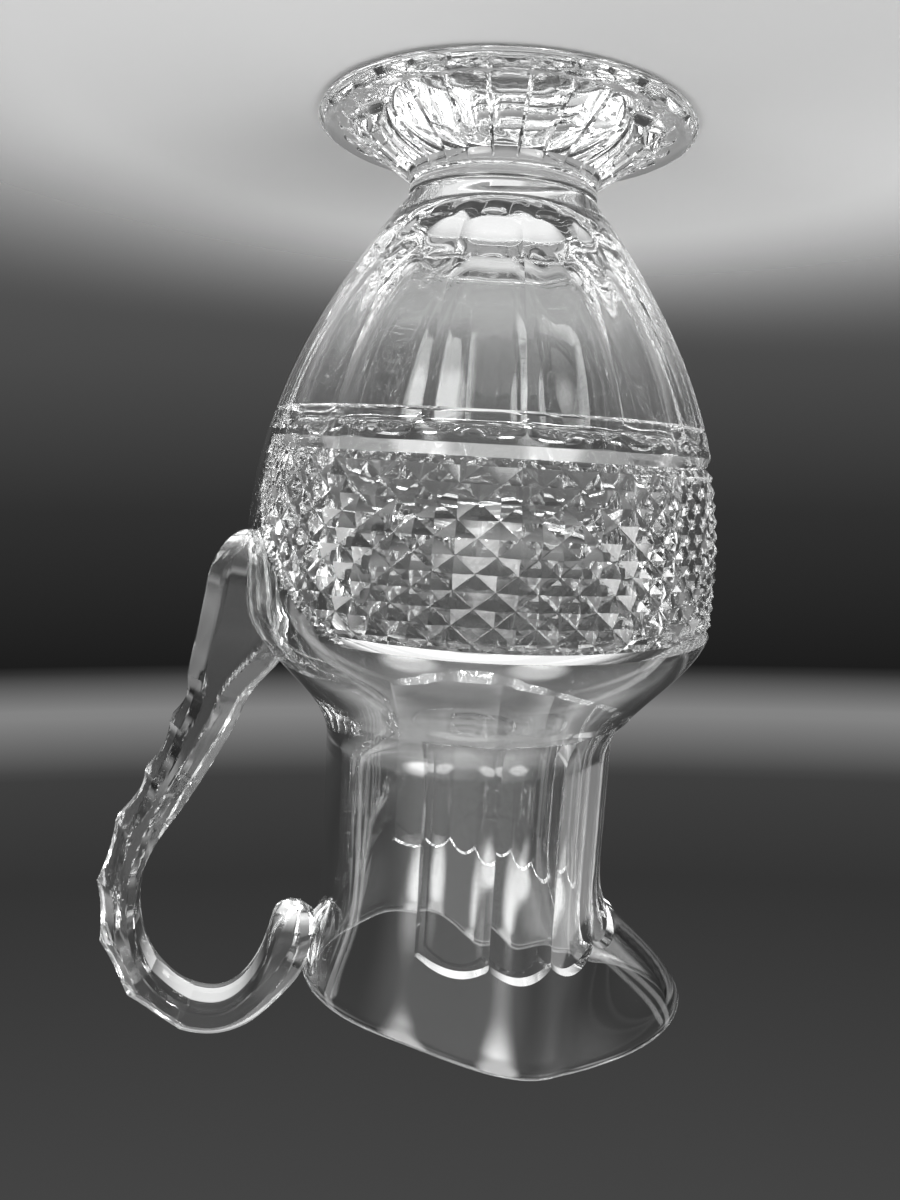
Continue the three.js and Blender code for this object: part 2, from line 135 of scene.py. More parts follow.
@dataclass
class Skin:
    """A closed surface over rows of points that run from one pole to the other.

    Attributes:
        rows: Angles, radii and heights in millimetres, an array of shape (rows, columns, 3).
        first: The pole before the first row, as a point.
        last: The pole after the last row, as a point.
        low: How low each point lies in a cut, (rows, columns). A square's diagonal joins
            its two lower corners, so that the bottom of a groove is one clean line.
        fused: Which poles' caps lie inside the glass, where two pieces are one.
    """

    rows: Array
    first: tuple[float, float, float]
    last: tuple[float, float, float]
    low: Array
    fused: tuple[bool, bool] = (False, False)

    def triangles(self) -> tuple[Array, Array]:
        """Triangles of the skin, all facing outwards.

        Formula: each square of four neighbours is halved along the diagonal whose corners
        lie lower, and each pole is joined to the row beside it by a fan.

        Returns:
            Vertex numbers of shape (triangles, 3) and a Face value for each triangle.
        """
        rows, columns = self.low.shape
        number = 1 + np.arange(rows * columns).reshape(rows, columns)
        following = np.roll(number, -1, axis=1)
        low_following = np.roll(self.low, -1, axis=1)
        a, b = number[:-1], following[:-1]
        d, c = number[1:], following[1:]
        rising = self.low[:-1] + low_following[1:]
        falling = low_following[:-1] + self.low[1:]
        along = (rising <= falling + TIE)[..., None]
        one = np.where(along, np.stack([a, b, c], -1), np.stack([a, b, d], -1))
        two = np.where(along, np.stack([a, c, d], -1), np.stack([b, c, d], -1))
        start = np.stack([np.zeros_like(number[0]), following[0], number[0]], -1)
        last = np.full_like(number[-1], rows * columns + 1)
        end = np.stack([last, number[-1], following[-1]], -1)
        faces = np.concatenate([start, one.reshape(-1, 3), two.reshape(-1, 3), end])
        kinds = np.full(len(faces), Face.GLASS.value, dtype=np.int32)
        if self.fused[0]:
            kinds[:columns] = Face.FUSED.value
        if self.fused[1]:
            kinds[-columns:] = Face.FUSED.value
        return faces.astype(np.int32), kinds

    def mesh(self, name: str, corner: Corner) -> bpy.types.Mesh:
        """Fill a mesh, in metres, with the skin.

        Args:
            name: Name of the mesh.
            corner: Which edges stay sharp.

        Returns:
            The mesh.
        """
        faces, kinds = self.triangles()
        sides = to_space(self.rows).reshape(-1, 3)
        points = np.vstack([[self.first], sides, [self.last]]) * METRES
        mesh = bpy.data.meshes.new(name)
        mesh.vertices.add(len(points))
        mesh.vertices.foreach_set("co", points.astype(np.float32).ravel())
        mesh.loops.add(faces.size)
        mesh.loops.foreach_set("vertex_index", faces.ravel())
        mesh.polygons.add(len(faces))
        mesh.polygons.foreach_set("loop_start", np.arange(0, faces.size, 3, dtype=np.int32))
        mesh.polygons.foreach_set("material_index", kinds)
        mesh.polygons.foreach_set("use_smooth", np.ones(len(faces), dtype=bool))
        mesh.update(calc_edges=True)
        mesh.validate()
        mesh.set_sharp_from_angle(angle=math.radians(corner.value))
        return mesh


class Term:
    """A shader socket that takes part in arithmetic, each operator adding a Math node."""

    def __init__(self, shader: Shader, socket: bpy.types.NodeSocket) -> None:
        """Keep the shader that holds the socket, and the socket."""
        self.shader = shader
        self.socket = socket

    def __add__(self, other: Term | float) -> Term:
        """Sum of two values, in either order."""
        return self.shader.math("ADD", self, other)

    def __mul__(self, other: Term | float) -> Term:
        """Product of two values, in either order."""
        return self.shader.math("MULTIPLY", self, other)

    def __pow__(self, other: Term | float) -> Term:
        """Power of a value."""
        return self.shader.math("POWER", self, other)

    __radd__ = __add__
    __rmul__ = __mul__


class Shader:
    """The node tree of one material or of the world."""

    def __init__(self, tree: bpy.types.NodeTree) -> None:
        """Empty the tree."""
        self.tree = tree
        tree.nodes.clear()

    def node(
        self,
        kind: str,
        settings: dict[str, object] | None = None,
        inputs: dict[str | int, object] | None = None,
        stops: tuple[tuple[float, float], ...] = (),
    ) -> bpy.types.Node:
        """Add a node.

        Args:
            kind: Type of the node.
            settings: Its own settings, set before its sockets.
            inputs: For each named or numbered input a value, a Term, a socket, or a node
                whose first output it takes.
            stops: Places and greys of a ramp.

        Returns:
            The node.
        """
        made = self.tree.nodes.new(kind)
        for name, value in (settings or {}).items():
            setattr(made, name, value)
        if stops:
            elements = made.color_ramp.elements
            while len(elements) < len(stops):
                elements.new(0.5)
            for element, (place, grey) in zip(elements, stops):
                element.position = place
                element.color = (grey, grey, grey, 1.0)
        for key, value in (inputs or {}).items():
            if isinstance(value, bpy.types.Node):
                value = value.outputs[0]
            if isinstance(value, Term):
                value = value.socket
            if isinstance(value, bpy.types.NodeSocket):
                self.tree.links.new(value, made.inputs[key])
            else:
                made.inputs[key].default_value = value
        return made

    def math(self, operation: str, *values: Term | float) -> Term:
        """Add a Math node and return its value."""
        made = self.node("ShaderNodeMath", {"operation": operation}, dict(enumerate(values)))
        return self.value(made)

    def value(self, node: bpy.types.Node, output: str | int = 0) -> Term:
        """Take a node's output into arithmetic."""
        return Term(self, node.outputs[output])

    def coordinate(self, kind: str) -> bpy.types.NodeSocket:
        """Place on the object or direction in the world, by the kind of coordinate."""
        return self.node("ShaderNodeTexCoord").outputs[kind]

    def length(self, vector: bpy.types.NodeSocket | bpy.types.Node) -> Term:
        """Length of a vector."""
        made = self.node("ShaderNodeVectorMath", {"operation": "LENGTH"}, {0: vector})
        return self.value(made, "Value")

    def noise(self, scale: float, detail: float, place: bpy.types.NodeSocket) -> Term:
        """Cloudy noise from 0 to 1, with scale in cycles per metre."""
        inputs = {"Vector": place, "Scale": scale, "Detail": detail}
        return self.value(self.node("ShaderNodeTexNoise", inputs=inputs), "Fac")

    def ease(
        self,
        value: Term,
        start: float,
        end: float,
        low: float = 0.0,
        high: float = 1.0,
    ) -> Term:
        """Lead a value smoothly from one number to another.

        Args:
            value: The value that is followed.
            start: Where the result leaves low.
            end: Where the result reaches high.
            low: Result before the start.
            high: Result past the end.

        Returns:
            The result.
        """
        made = self.node(
            "ShaderNodeMapRange",
            {"interpolation_type": "SMOOTHSTEP"},
            {
                "Value": value,
                "From Min": start,
                "From Max": end,
                "To Min": low,
                "To Max": high,
            },
        )
        return self.value(made, "Result")


def new_material(name: str) -> tuple[bpy.types.Material, Shader]:
    """Make a material and give it together with its empty node tree."""
    made = bpy.data.materials.new(name)
    made.use_nodes = True
    return made, Shader(made.node_tree)


@dataclass(frozen=True)
class CrystalFinish:
    """Clear polished crystal.

    Attributes:
        tint: Colour that light keeps at each surface.
        cloud: Share of the tint that is left in faint clouds.
        cloud_scale: Clouds to a metre.
        index: Refractive index.
        wear: Roughness that handling leaves in smears.
        smear_scale: Smears to a metre.
        smear_contrast: Power that sets the smears apart from the clean glass.
        ripple: Height of the slow waves in the surface, in millimetres.
        ripple_length: Length of those waves, in millimetres.
    """

    tint: tuple[float, float, float] = (0.985, 0.99, 0.988)
    cloud: float = 0.985
    cloud_scale: float = 24.0
    index: float = 1.545
    wear: float = 0.012
    smear_scale: float = 38.0
    smear_contrast: float = 3.0
    ripple: float = 0.03
    ripple_length: float = 22.0

    def material(self, name: str) -> bpy.types.Material:
        """Make the material: glass with slow waves, faint smears and a near-clear tint."""
        made, shader = new_material(name)
        place = shader.coordinate("Object")
        waves = shader.noise(1.0 / (self.ripple_length * METRES), 1.0, place)
        smears = shader.noise(self.smear_scale, 4.0, place)
        tone = shader.node(
            "ShaderNodeMix",
            {"data_type": "RGBA"},
            {
                "Factor": shader.noise(self.cloud_scale, 2.0, place),
                "A": (*self.tint, 1.0),
                "B": (*(channel * self.cloud for channel in self.tint), 1.0),
            },
        )
        bump = shader.node(
            "ShaderNodeBump",
            inputs={"Strength": 1.0, "Distance": self.ripple * METRES, "Height": waves},
        )
        glass = shader.node(
            "ShaderNodeBsdfPrincipled",
            inputs={
                "Base Color": tone.outputs["Result"],
                "Roughness": self.wear * smears**self.smear_contrast,
                "IOR": self.index,
                "Transmission Weight": 1.0,
                "Normal": bump,
            },
        )
        shader.node("ShaderNodeOutputMaterial", inputs={"Surface": glass})
        return made


@dataclass(frozen=True)
class FusedJoint:
    """The unseen plane where two pieces of glass are melted into one."""

    name: str = "fused_joint"

    def material(self) -> bpy.types.Material:
        """Make a surface that lets all light through unbent."""
        made, shader = new_material(self.name)
        clear = shader.node(
            "ShaderNodeBsdfPrincipled",
            inputs={"Base Color": (1.0, 1.0, 1.0, 1.0), "Alpha": 0.0},
        )
        shader.node("ShaderNodeOutputMaterial", inputs={"Surface": clear})
        return made


@dataclass(frozen=True)
class Outline:
    """The uncut outside of bowl, neck and lip, which the cuts and the handle follow.

    The angles are measured from the middle of the spout, and back_half_angle from the
    middle of the handle. The flare follows the share lip_turn of half a cosine wave, to
    the power lip_flare.
    """

    base_height: float = 20.0
    base_radius: float = 26.0
    widest_radius: float = 68.0
    widest_height: float = 121.5
    shoulder_base: float = 132.1
    shoulder_height: float = 42.0
    neck_radius: float = 43.6
    lip_base: float = 208.1
    lip_radius: float = 45.2
    back_radius: float = 48.6
    back_half_angle: float = math.radians(55.0)
    rim_height: float = 248.6
    lip_turn: float = 0.9
    lip_flare: float = 1.6
    spout_reach: float = 74.5
    spout_half_angle: float = math.radians(60.0)
    spout_rise: float = 15.6
    rise_start: float = math.radians(125.0)
    rise_end: float = math.radians(45.0)
    spout_dip: float = 5.0

    def radius(self, height: Array) -> Array:
        """Radius of the bowl and neck.

        Formula: below the widest height the radius falls with the square of the distance
        from it, and above the shoulder's base half a cosine wave leads to the neck.

        Args:
            height: Heights in millimetres.

        Returns:
            Radii in millimetres.
        """
        below = (self.widest_height - height) / (self.widest_height - self.base_height)
        lower = self.widest_radius - (self.widest_radius - self.base_radius) * below**2
        turn = math.pi * np.clip((height - self.shoulder_base) / self.shoulder_height, 0.0, 1.0)
        share = (1.0 + np.cos(turn)) / 2.0
        upper = blend(self.neck_radius, self.widest_radius, share)
        return np.where(height < self.widest_height, lower, upper)

    def pull(self, angle: Array, middle: float, half_angle: float) -> Array:
        """How strongly one side draws the lip: a squared cosine, 0 outside its half angle."""
        turned = np.minimum(np.abs(wrapped(angle - middle)) / half_angle, 1.0)
        return np.cos(turned * QUARTER) ** 2

    def lip_reach(self, angle: Array) -> Array:
        """Radius of the lip's edge, drawn out to the spout and a little to the handle.

        Args:
            angle: Angles round the axis.

        Returns:
            Radii in millimetres.
        """
        spout = self.pull(angle, math.pi, self.spout_half_angle)
        back = self.pull(angle, 0.0, self.back_half_angle)
        drawn = blend(self.lip_radius, self.spout_reach, spout)
        return drawn + (self.back_radius - self.lip_radius) * back

    def lip_height(self, angle: Array) -> Array:
        """Height of the lip's edge, rising towards the spout and dipping at its middle.

        Args:
            angle: Angles round the axis.

        Returns:
            Heights in millimetres.
        """
        turned = np.abs(wrapped(angle - math.pi))
        rise = 1.0 - smooth(turned, self.rise_end, self.rise_start)
        dip = self.spout_dip * self.pull(angle, math.pi, self.spout_half_angle)
        return self.rim_height + self.spout_rise * rise - dip

    def flare(self, angle: Array, up: Array | float) -> tuple[Array, Array]:
        """Outside between the neck and the lip's edge.

        Formula: a cosine ease of the share upwards, raised to a power, leads the radius
        from the neck's to the lip's, and the height goes straight up.

        Args:
            angle: Angles round the axis.
            up: Share of the way from the neck to the edge.

        Returns:
            Radii and heights.
        """
        whole = 1.0 - math.cos(math.pi * self.lip_turn)
        turn = (1.0 - np.cos(math.pi * self.lip_turn * up)) / whole
        radius = blend(self.neck_radius, self.lip_reach(angle), turn**self.lip_flare)
        return radius, blend(self.lip_base, self.lip_height(angle), up)

    def outside(self, angle: Array, height: Array) -> Array:
        """Outer radius at any place, straight up above the lip's edge.

        Args:
            angle: Angles round the axis.
            height: Heights in millimetres.

        Returns:
            Radii in millimetres.
        """
        share = (height - self.lip_base) / (self.lip_height(angle) - self.lip_base)
        above, _ = self.flare(angle, np.clip(share, 0.0, 1.0))
        return np.where(height < self.lip_base, self.radius(height), above)


@dataclass
class Piece:
    """What every piece of the pitcher has in common.

    Attributes:
        joint: Material of the caps where it is fused to its neighbours.
        node: The solid that it stands for.
        finish: Its glass.
        corner: Which of its edges stay sharp.
    """

    joint: bpy.types.Material
    node: str = ""
    finish: CrystalFinish = CrystalFinish()
    corner: Corner = Corner.CUT

    def skin(self) -> Skin:
        """The piece's surface."""
        raise NotImplementedError

    def build(self) -> bpy.types.Object:
        """Make the piece, dress it and let it stand for its solid.

        Returns:
            The piece's object, at the origin.
        """
        name = f"{self.node}_crystal"
        skin = self.skin()
        mesh = skin.mesh(name, self.corner)
        mesh.materials.append(self.finish.material(f"{name}_glass"))
        if any(skin.fused):
            mesh.materials.append(self.joint)
        made = placed(name, mesh)
        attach(made, "root")
        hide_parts(self.node)
        log.info("%s: %d triangles", name, len(mesh.polygons))
        return made


@dataclass
class Foot(Piece):
    """Round foot: a thin rim, flat radial flutes on its slope, a collar under the wafer.

    The rim is rounded over rim_depth. The flutes' round ends are arch deep and lie an
    inset inside the edge, and each flute reaches its depth over the runout. The flank of
    a ridge takes up the share ridge of half a flute.
    """

    node: str = "foot"
    finish: CrystalFinish = CrystalFinish(wear=0.03, ripple=0.02)
    radius: float = 51.7
    rim: float = 3.0
    rim_depth: float = 8.0
    height: float = 16.7
    join_radius: float = 24.8
    collar_radius: float = 27.2
    collar_top_radius: float = 26.0
    collar_base: float = 14.2
    collar_edge: float = 0.1
    flutes: int = 26
    phase: float = math.radians(-1.85)
    depth: float = 0.6
    ridge: float = 0.13
    inset: float = 5.4
    arch: float = 4.0
    runout: float = 0.5

    def crown(self, radius: Array) -> Array:
        """Height of the uncut top.

        Formula: the upper quarter of a low ellipse rounds the rim, and inside it a
        straight slope leads up to the collar's base.

        Args:
            radius: Distances from the axis.

        Returns:
            Heights.
        """
        edge = self.radius - self.rim_depth
        outward = np.clip((radius - edge) / self.rim_depth, 0.0, 1.0)
        inward = np.clip((edge - radius) / (edge - self.collar_radius), 0.0, 1.0)
        rounded = self.rim / 2.0 * (1.0 + np.sqrt(1.0 - outward**2))
        return rounded + (self.collar_base - self.rim) * inward

    def flute_places(self) -> Array:
        """Places across one flute, from its first ridge up to the next, -1 to 1."""
        panel = np.linspace(self.ridge - 1.0, 1.0 - self.ridge, 11)
        return np.concatenate([[-1.0, self.ridge / 2.0 - 1.0], panel, [1.0 - self.ridge / 2.0]])

    def skin(self) -> Skin:
        """The foot's surface.

        Formula: rows run out along the flat underside, round the rim, and in along the
        slope to the collar. A flute is a plane: the slope is looked up at the distance
        from the axis measured along the flute's middle line, and set back by the flute's
        depth between two thin ridges. Half an ellipse ends it at the rim, and the
        collar's wall ends it at the other end.

        Returns:
            The surface, closed by its two poles.
        """
        places = self.flute_places()
        number = np.arange(self.flutes)[:, None]
        angle = self.phase + (number + (places + 1.0) / 2.0).ravel() / self.flutes * TAU
        side = np.tile(places, self.flutes)[None, :]
        half = self.rim / 2.0
        under = spaced(0.2, 1.0, 6) * (self.radius - half)
        turn = spaced(-QUARTER, 0.0, 9)[1:]
        rim_end = math.acos(1.0 - self.inset / self.rim_depth)
        above = spaced(0.0, rim_end, 12)[1:]
        outermost = self.radius - self.inset
        start = outermost - self.arch * (1.0 - np.sqrt(1.0 - side**2))
        plain = blend(outermost, start, spaced(0.0, 1.0, 7)[1:])
        ease = spaced(0.0, 1.0, 4)[1:]
        entry = start - self.runout * ease
        inner = blend(entry[-1:], self.collar_radius, spaced(0.0, 1.0, 23)[1:])
        cut = self.depth * np.clip((1.0 - np.abs(side)) / self.ridge, 0.0, 1.0)
        flat = np.cos(side * math.pi / self.flutes) / math.cos(math.pi / self.flutes)
        rising = spaced(0.1, 0.9, 9)
        cove = blend(self.collar_radius, self.collar_top_radius, np.sin(rising * QUARTER))
        cove_base = self.crown(self.collar_radius * flat) - cut
        closing = spaced(0.5, 1.0, 2)
        closing_radius = blend(self.collar_top_radius, self.join_radius, closing)
        closing_height = self.height - self.collar_edge * (1.0 - closing)
        rim_round = self.radius + half * (np.cos(turn) - 1.0)
        rim_slope = self.radius + self.rim_depth * (np.cos(above) - 1.0)
        rows = np.concatenate(
            [
                cylindrical(angle, under, 0.0),
                cylindrical(angle, rim_round, half * (1.0 + np.sin(turn))),
                cylindrical(angle, rim_slope, half * (1.0 + np.sin(above))),
                cylindrical(angle, plain, self.crown(plain)),
                cylindrical(angle, entry, self.crown(entry * flat) - cut * ease),
                cylindrical(angle, inner, self.crown(inner * flat) - cut),
                cylindrical(angle, cove, blend(cove_base, self.height, rising)),
                cylindrical(angle, closing_radius, closing_height),
            ]
        )
        return Skin(
            rows,
            first=(0.0, 0.0, 0.0),
            last=(0.0, 0.0, self.height),
            low=rows[..., 2],
            fused=(False, True),
        )


@dataclass
class Wafer(Piece):
    """Fire-polished disc between foot and bowl."""

    node: str = "wafer"
    corner: Corner = Corner.FIRE_POLISHED
    columns: int = 224
    radius: float = 26.4
    base: float = 16.7
    height: float = 3.3
    join_radius: float = 24.8
    fullness: float = 0.8

    def skin(self) -> Skin:
        """The wafer's surface.

        Formula: the edge is half a superellipse, as tall as the wafer and as deep as the
        distance from its rim to the joint's radius.

        Returns:
            The surface, closed by its two poles.
        """
        angle = np.arange(self.columns) / self.columns * TAU
        turn = spaced(-QUARTER, QUARTER, 25)
        deep = self.radius - self.join_radius
        bulge = self.join_radius + deep * np.cos(turn) ** self.fullness
        middle = self.base + self.height / 2.0
        rows = cylindrical(angle, bulge, middle + self.height / 2.0 * np.sin(turn))
        return Skin(
            rows,
            first=(0.0, 0.0, self.base),
            last=(0.0, 0.0, self.base + self.height),
            low=rows[..., 1],
            fused=(True, True),
        )


@dataclass
class Bowl(Piece):
    """Bowl, neck and lip: one blown body with its cuts.

    The flat panels begin at arch_base in round arches and end past the mitre line in
    crescents. A diamond's tip and its grooves lie tip and depth under the uncut glass. The
    shield's half angles lie either side of the handle. The flutes begin at flute_base and
    fade out over flute_exit, and that share, like flute_end and flute_scallop, is one of
    the flare. The cavity's bottom is a superellipse of the power fullness.
    """

    node: str = "bowl"
    outline: Outline = Outline()
    columns: int = 336
    join_radius: float = 24.8
    base_edge: float = 1.2
    panels: int = 16
    panel_phase: float = math.radians(4.0)
    panel_exit: float = 6.0
    arch_base: float = 30.5
    arch: float = 4.5
    mitre: float = 79.9
    mitre_width: float = 0.45
    mitre_depth: float = 0.5
    crescent: float = 4.6
    belt_top: float = 87.3
    diamonds: int = 42
    row_height: float = 4.03
    band_base: float = 92.2
    band_rows: int = 10
    tip: float = 0.3
    depth: float = 2.0
    strip_top: float = 136.5
    shield_base: float = math.radians(16.0)
    shield_top: float = math.radians(44.0)
    shield_curve: float = 2.2
    shield_slope: float = 1.3
    flutes: int = 9
    flute_width: float = TAU / 14.0
    flute_base: float = 162.6
    flute_ledge: float = 1.1
    flute_flat: float = 1.15
    flute_set: float = 0.45
    flute_end: float = 0.4
    flute_scallop: float = 0.08
    flute_exit: float = 0.03
    bowl_wall: float = 6.5
    neck_wall: float = 4.8
    lip_wall: float = 4.6
    cavity_floor: float = 29.0
    fullness: float = 2.02
    cavity_wave: float = 0.35

    def angles(self, phase: float = 0.0) -> Array:
        """Angles of the columns, turned by the phase, as one row."""
        return phase + np.arange(self.columns)[None, :] / self.columns * TAU

    def lower_rows(self) -> Array:
        """Rows from the wafer to the belt's upper edge: panels, mitre and crescents.

        Formula: a panel is a plane, which stands at the cosine of half a panel's angle
        divided by the cosine of the place across it. Where the wheel runs out, the plane
        moves away with a high power of run, late and steeply, and its edge becomes half
        an ellipse.

        Returns:
            Cylindrical places.
        """
        step = TAU / self.columns
        angle = self.angles(self.panel_phase - step * math.floor(self.panel_phase / step))
        side = centred((angle - self.panel_phase) / TAU * self.panels)
        curve = np.sqrt(np.clip(1.0 - side**2, 0.0, 1.0))
        half = math.pi / self.panels
        base = self.outline.base_height
        edge = base + self.base_edge

        def cut(height: Array, run: Array | float) -> Array:
            """Places at a height, with run 0 along the panels and 1 on uncut glass."""
            plane = math.cos(half) + (1.0 - math.cos(half)) * run**self.panel_exit
            share = np.minimum(plane / np.cos(side * half), 1.0)
            return cylindrical(angle, self.outline.radius(height) * share, height)

        arch = self.arch_base + self.arch * (1.0 - curve)
        straight = self.arch_base + self.arch + self.base_edge
        entry = blend(arch, straight, spaced(0.0, 1.0, 9))
        groove = cut(np.array([[self.mitre]]), 0.0)
        groove[..., 1] -= self.mitre_depth
        start = self.mitre + self.mitre_width
        crescent = start + self.crescent * curve
        leaving = blend(start, crescent, spaced(0.0, 1.0, 6))
        turn = spaced(0.0, 1.0, 5) * QUARTER
        lowest = blend(self.join_radius, self.outline.radius(edge), np.sin(turn))
        return np.concatenate(
            [
                cylindrical(angle, lowest, base + self.base_edge * (1.0 - np.cos(turn))),
                cut(blend(edge, arch, spaced(0.0, 1.0, 5)[1:-1]), 1.0),
                cut(entry, np.clip(1.0 - (entry - self.arch_base) / self.arch, 0.0, 1.0)),
                cut(spaced(straight, self.mitre - self.mitre_width, 15)[1:], 0.0),
                groove,
                cut(leaving, np.clip((leaving - start) / self.crescent, 0.0, 1.0)),
                cut(blend(crescent, self.belt_top, spaced(0.0, 1.0, 5)[1:]), 1.0),
            ]
        )

    def shield_distance(self, angle: Array, height: Array) -> Array:
        """Distance outside the plain shield round the handle's root, in millimetres.

        Formula: the shield's half angle grows from its base to the band's top with a
        power of the share upwards, and the rest of the angle is laid out at the bowl's
        widest radius.

        Args:
            angle: Angles round the axis.
            height: Heights.

        Returns:
            Distances, 0 inside the shield.
        """
        span = self.row_height * self.band_rows
        up = np.maximum((height - self.band_base) / span, 0.0)
        half = blend(self.shield_base, self.shield_top, up**self.shield_curve)
        return np.maximum(np.abs(wrapped(angle)) - half, 0.0) * self.outline.widest_radius

    def diamond_rows(self) -> Array:
        """Rows of the diamond band, from the belt's edge to the shoulder.

        Formula: grooves cross on a lattice of half diamonds. A point's depth grows from
        the tip's to the full depth with the sum of its distances from the nearest tip
        across and up, counted in half diamonds. At either end the band's last half row
        slopes straight into a ring groove, whose outer flank rises to the plain glass.

        Returns:
            Cylindrical places.
        """
        angle = self.angles()
        row = spaced(-0.5, self.band_rows + 0.5, 4 * (self.band_rows + 1) + 1)
        height = self.band_base + row * self.row_height
        place = angle / TAU * 2 * self.diamonds
        one = (place + row + 1.0) / 2.0
        two = (place - row + 1.0) / 2.0
        gap = np.maximum(np.abs(one - np.round(one)), np.abs(two - np.round(two)))
        beyond = np.maximum(np.maximum(-row, row - self.band_rows), 0.0)
        depth = blend(self.tip, self.depth, 2.0 * np.maximum(gap, beyond))
        rising = np.array([[0.33], [0.67]])
        falling = np.array([[0.67], [0.33], [0.0]])
        lower = blend(self.belt_top, height[0], rising)
        upper = blend(self.strip_top, height[-1], falling)
        heights = np.concatenate([lower, height, upper])
        flat = np.ones_like(angle)
        depths = np.concatenate([rising * self.depth * flat, depth, falling * self.depth * flat])
        limit = self.shield_slope * self.shield_distance(angle, heights)
        return cylindrical(
            angle, self.outline.radius(heights) - np.minimum(depths, limit), heights
        )

    def neck_rows(self) -> Array:
        """Rows of the shoulder, the fluted neck and the flare up to the lip's edge.

        Formula: a flute's depth is a constant set-back plus the flat's own depth times
        one minus the square of the place across the flute. None lie beside the handle.

        Returns:
            Cylindrical places.
        """
        angle = self.angles()
        outline = self.outline
        turned = wrapped(angle - math.pi) / self.flute_width + self.flutes / 2.0
        inside = (turned > -ROUNDING) & (turned < self.flutes + ROUNDING)
        curve = np.where(inside, 1.0 - centred(turned) ** 2, 0.0)
        depth = np.where(inside, self.flute_set + self.flute_flat * curve, 0.0)
        plain = spaced(self.strip_top, self.flute_base, 17)[1:]
        ledge = spaced(0.0, 1.0, 4)[1:]
        stepped = self.flute_base + self.flute_ledge * ledge
        cut = spaced(self.flute_base + self.flute_ledge, outline.lip_base, 18)[1:]
        end = self.flute_end + self.flute_scallop * curve
        up = spaced(0.0, 1.0, 11)[1:] * (end - self.flute_exit)
        fade = np.array([[0.66], [0.33]])
        free = blend(end, 1.0, spaced(0.0, 1.0, 13)[:-1])

        def on_flare(share: Array, cutting: Array | float) -> Array:
            """Places a share of the way up the flare, set back by the cutting."""
            radius, height = outline.flare(angle, share)
            return cylindrical(angle, radius - cutting, height)

        return np.concatenate(
            [
                cylindrical(angle, outline.radius(plain), plain),
                cylindrical(angle, outline.radius(stepped) - depth * ledge, stepped),
                cylindrical(angle, outline.radius(cut) - depth, cut),
                on_flare(up, depth),
                on_flare(end - self.flute_exit * fade, depth * fade),
                on_flare(free, 0.0),
            ]
        )

    def lip_section(self, up: Array | float, turn: Array | float) -> Array:
        """Places on the lip's round edge and inner face.

        Formula: the middle of the wall lies half a wall inside the flare, along its
        normal, and the section is a circle of half a wall round it.

        Args:
            up: Share of the way from the neck to the edge.
            turn: Turn round the wall, 0 on the outside and half a turn on the inside.

        Returns:
            Cylindrical places.
        """
        angle = self.angles()
        step = 0.01
        radius, height = self.outline.flare(angle, up)
        radius_below, height_below = self.outline.flare(angle, up - step)
        along_r, along_z = radius - radius_below, height - height_below
        length = np.hypot(along_r, along_z)
        along_r, along_z = along_r / length, along_z / length
        half = blend(self.neck_wall, self.lip_wall, up) / 2.0
        out = half * (np.cos(turn) - 1.0)
        on = half * np.sin(turn)
        return cylindrical(
            angle,
            radius + out * along_z + on * along_r,
            height - out * along_r + on * along_z,
        )

    def inner_rows(self) -> Array:
        """Rows of the cavity, from the neck down to its round bottom.

        Formula: the neck and shoulder keep the wall's thickness inside the outline, and
        below the widest height the section is a superellipse down to the floor. A faint
        cosine wave, fullest half way down, follows the flat panels outside.

        Returns:
            Cylindrical places.
        """
        angle = self.angles()
        outline = self.outline
        neck_base = outline.shoulder_base + outline.shoulder_height
        straight = spaced(outline.lip_base, neck_base, 8)[1:]
        curved = spaced(neck_base, outline.shoulder_base, 22)[1:]
        height = np.concatenate([straight, curved])
        share = smooth(height, outline.shoulder_base, neck_base)
        wall = blend(self.bowl_wall, self.neck_wall, share)
        turn = spaced(0.0, QUARTER, 34)[:-1]
        power = 2.0 / self.fullness
        widest = outline.widest_radius - self.bowl_wall
        depth = outline.widest_height - self.cavity_floor
        follow = np.cos(self.panels * (angle - self.panel_phase))
        wave = self.cavity_wave * np.sin(2.0 * turn) * follow
        return np.concatenate(
            [
                cylindrical(angle, outline.radius(height) - wall, height),
                cylindrical(
                    angle,
                    widest * np.cos(turn) ** power + wave,
                    outline.widest_height - depth * np.sin(turn) ** power,
                ),
            ]
        )

    def skin(self) -> Skin:
        """The bowl's surface: up the outside, over the lip and down the inside."""
        rows = np.concatenate(
            [
                self.lower_rows(),
                self.diamond_rows(),
                self.neck_rows(),
                self.lip_section(1.0, spaced(0.0, math.pi, 14)),
                self.lip_section(spaced(1.0, 0.0, 18)[1:], math.pi),
                self.inner_rows(),
            ]
        )
        return Skin(
            rows,
            first=(0.0, 0.0, self.outline.base_height),
            last=(0.0, 0.0, self.cavity_floor),
            low=rows[..., 1],
            fused=(True, False),
        )


